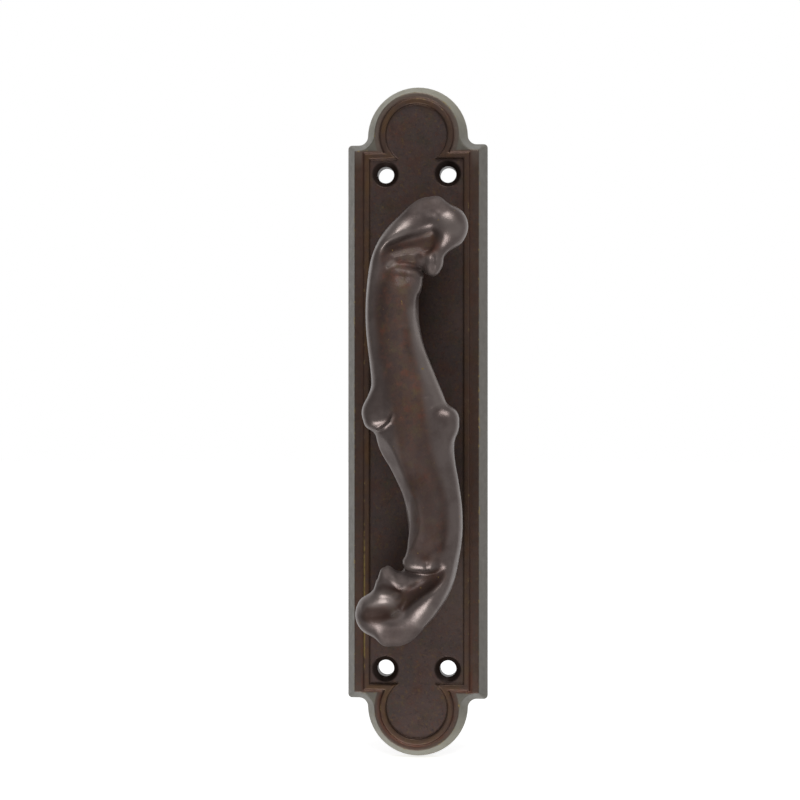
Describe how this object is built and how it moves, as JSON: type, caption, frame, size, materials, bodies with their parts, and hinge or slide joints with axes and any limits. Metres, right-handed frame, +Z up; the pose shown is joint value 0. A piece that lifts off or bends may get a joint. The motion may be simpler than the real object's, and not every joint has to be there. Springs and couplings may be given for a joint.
{
  "type": "cremone bolt",
  "caption": "Window cremone bolt: domed bronzed plate with an S-shaped scroll handle, and behind it a rack gear that drives pins up and down when the handle turns.",
  "frame": {"origin": "centre of the four screw holes, which is the spindle axis, at the back face of the plate", "axes": "+X right seen from the room, +Y into the window stile, +Z up along the plate"},
  "size_m": [0.046, 0.0694, 0.22],
  "materials": {
    "bronzed_plate": "cast brass with a dark brown bronzed patina, rubbed to brass on its arrises",
    "bronzed_handle": "cast brass with a grey-brown bronzed patina, polished by hand wear",
    "bright_steel": "bare rolled and milled steel",
    "dark_steel": "turned steel, dark with oxide and oil"
  },
  "bodies": {
    "plate_and_case": {"escutcheon_plate": "bronzed_plate", "thrust_washer": "bright_steel", "front_gear_plate": "bright_steel", "rear_gear_plate": "bright_steel", "spacer_frame": "bright_steel", "case_rivets": "bright_steel"},
    "turning_handle": {"handle": "bronzed_handle", "retaining_ring": "dark_steel", "spindle": "dark_steel", "pinion": "bright_steel"},
    "upper_slide": {"upper_rack": "bright_steel", "upper_drive_pin": "dark_steel"},
    "lower_slide": {"lower_rack": "bright_steel", "lower_drive_pin": "dark_steel"}
  },
  "joints": [
    {"name": "handle_turn", "type": "hinge", "parent": "plate_and_case", "child": "turning_handle", "pos_m": [0, 0, 0], "axis": [0, 1, 0], "range_deg": [0, 90]},
    {"name": "upper_slide_out", "type": "slide", "parent": "plate_and_case", "child": "upper_slide", "axis": [0, 0, 1], "range_m": [0, 0.0158]},
    {"name": "lower_slide_out", "type": "slide", "parent": "plate_and_case", "child": "lower_slide", "axis": [0, 0, -1], "range_m": [0, 0.0158]}
  ],
  "couplings": [
    {"joint": "upper_slide_out", "follows": "handle_turn", "m_per_rad": 0.01},
    {"joint": "lower_slide_out", "follows": "handle_turn", "m_per_rad": 0.01}
  ]
}
